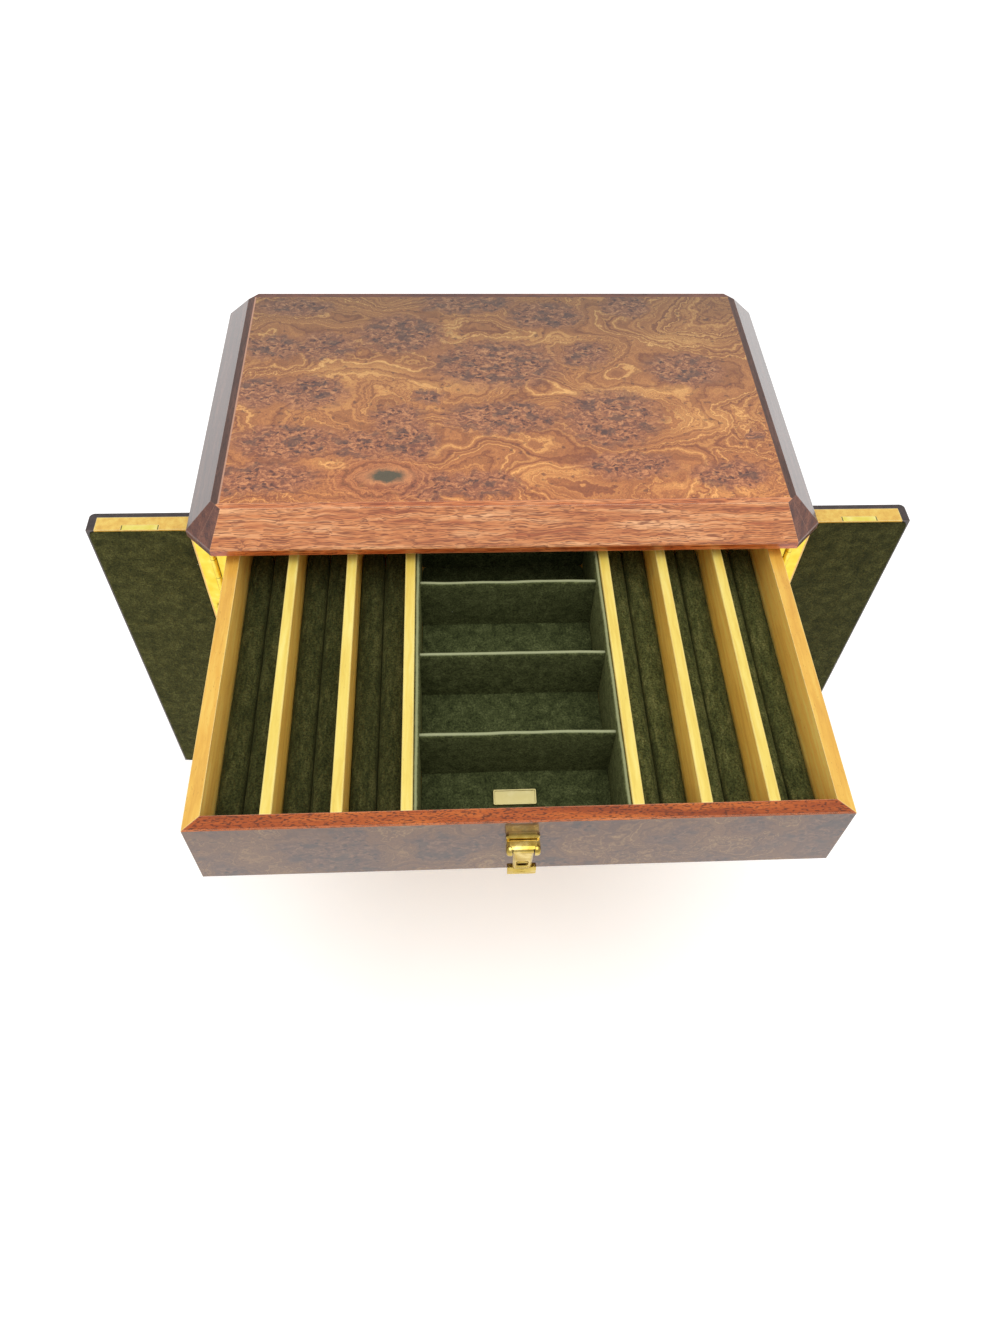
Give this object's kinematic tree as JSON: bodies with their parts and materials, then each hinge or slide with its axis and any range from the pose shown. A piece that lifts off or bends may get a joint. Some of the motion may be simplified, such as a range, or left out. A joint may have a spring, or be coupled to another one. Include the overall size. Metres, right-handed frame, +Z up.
{
  "type": "jewellery chest with drawers",
  "caption": "Bevel-lidded wooden cufflink chest with stacked suede-lined drawers, brass drop pulls and narrow locking doors on continuous brass hinges.",
  "frame": {"origin": "on the floor, at the centre of the felt base, under the centre of the lid", "axes": "+Z up, +X to the right of someone facing the drawers, the front faces -Y"},
  "size_m": [0.4756, 0.4025, 0.31],
  "materials": {
    "baize": "napped",
    "brass": "polished",
    "burl_veneer": "lacquered gloss",
    "magnet": "plated",
    "mahogany": "lacquered",
    "maple": "satin",
    "suede": "napped"
  },
  "bodies": {
    "cabinet": {"base_felt": "baize", "base_panel": "maple", "carcass_back": "burl_veneer", "carcass_bottom_board": "maple", "carcass_left_side": "burl_veneer", "carcass_right_side": "burl_veneer", "carcass_top_board": "maple", "door_magnets": "magnet", "drawer_runners": "maple", "hinge_cabinet_leaves": "brass", "hinge_pins": "brass", "lid_back_moulding": "mahogany", "lid_front_moulding": "mahogany", "lid_panel": "burl_veneer", "lid_side_moulding": "mahogany", "plinth_back_moulding": "mahogany", "plinth_front_moulding": "mahogany", "plinth_side_moulding": "mahogany"},
    "door_left": {"door_left_core": "maple", "door_left_hinge_leaf": "brass", "door_left_shell": "burl_veneer", "door_left_strike_plate": "brass", "door_left_suede": "suede"},
    "door_right": {"door_right_core": "maple", "door_right_hinge_leaf": "brass", "door_right_shell": "burl_veneer", "door_right_strike_plate": "brass", "door_right_suede": "suede"},
    "drawer_1": {"drawer_1_back": "maple", "drawer_1_bottom": "maple", "drawer_1_divider_strips": "maple", "drawer_1_front": "burl_veneer", "drawer_1_ring_rolls": "suede", "drawer_1_sides": "maple", "drawer_1_tray_dividers": "suede", "drawer_1_tray_floor": "suede", "drawer_1_tray_liners": "suede", "pull_1_mount": "brass"},
    "drawer_2": {"drawer_2_back": "maple", "drawer_2_bottom": "maple", "drawer_2_front": "burl_veneer", "drawer_2_lining": "suede", "drawer_2_sides": "maple", "pull_2_mount": "brass"},
    "drawer_3": {"drawer_3_back": "maple", "drawer_3_bottom": "maple", "drawer_3_front": "burl_veneer", "drawer_3_lining": "suede", "drawer_3_sides": "maple", "pull_3_mount": "brass"},
    "drawer_4": {"drawer_4_back": "maple", "drawer_4_bottom": "maple", "drawer_4_front": "burl_veneer", "drawer_4_lining": "suede", "drawer_4_sides": "maple", "pull_4_mount": "brass"},
    "pull_1": {"pull_1_drop": "brass"},
    "pull_2": {"pull_2_drop": "brass"},
    "pull_3": {"pull_3_drop": "brass"},
    "pull_4": {"pull_4_drop": "brass"}
  },
  "joints": [
    {"name": "drawer_1_slide", "type": "slide", "parent": "cabinet", "child": "drawer_1", "axis": [0, 1, 0], "range_m": [0, 0.18]},
    {"name": "drawer_2_slide", "type": "slide", "parent": "cabinet", "child": "drawer_2", "axis": [0, -1, 0], "range_m": [0, 0.18]},
    {"name": "drawer_3_slide", "type": "slide", "parent": "cabinet", "child": "drawer_3", "axis": [0, -1, 0], "range_m": [0, 0.18]},
    {"name": "drawer_4_slide", "type": "slide", "parent": "cabinet", "child": "drawer_4", "axis": [0, -1, 0], "range_m": [0, 0.18]},
    {"name": "door_left_hinge", "type": "hinge", "parent": "cabinet", "child": "door_left", "pos_m": [-0.1708, -0.0955, 0.1564], "axis": [0, 0, 1], "range_deg": [0, 90]},
    {"name": "door_right_hinge", "type": "hinge", "parent": "cabinet", "child": "door_right", "pos_m": [0.1708, -0.0955, 0.1564], "axis": [0, 0, -1], "range_deg": [0, 90]},
    {"name": "pull_1_hinge", "type": "hinge", "parent": "drawer_1", "child": "pull_1", "pos_m": [0, -0.2804, 0.2635], "axis": [-1, 0, 0], "range_deg": [0, 100]},
    {"name": "pull_2_hinge", "type": "hinge", "parent": "drawer_2", "child": "pull_2", "pos_m": [0, -0.1004, 0.2105], "axis": [-1, 0, 0], "range_deg": [0, 100]},
    {"name": "pull_3_hinge", "type": "hinge", "parent": "drawer_3", "child": "pull_3", "pos_m": [0, -0.1004, 0.145], "axis": [-1, 0, 0], "range_deg": [0, 100]},
    {"name": "pull_4_hinge", "type": "hinge", "parent": "drawer_4", "child": "pull_4", "pos_m": [0, -0.1004, 0.0795], "axis": [-1, 0, 0], "range_deg": [0, 100]}
  ]
}
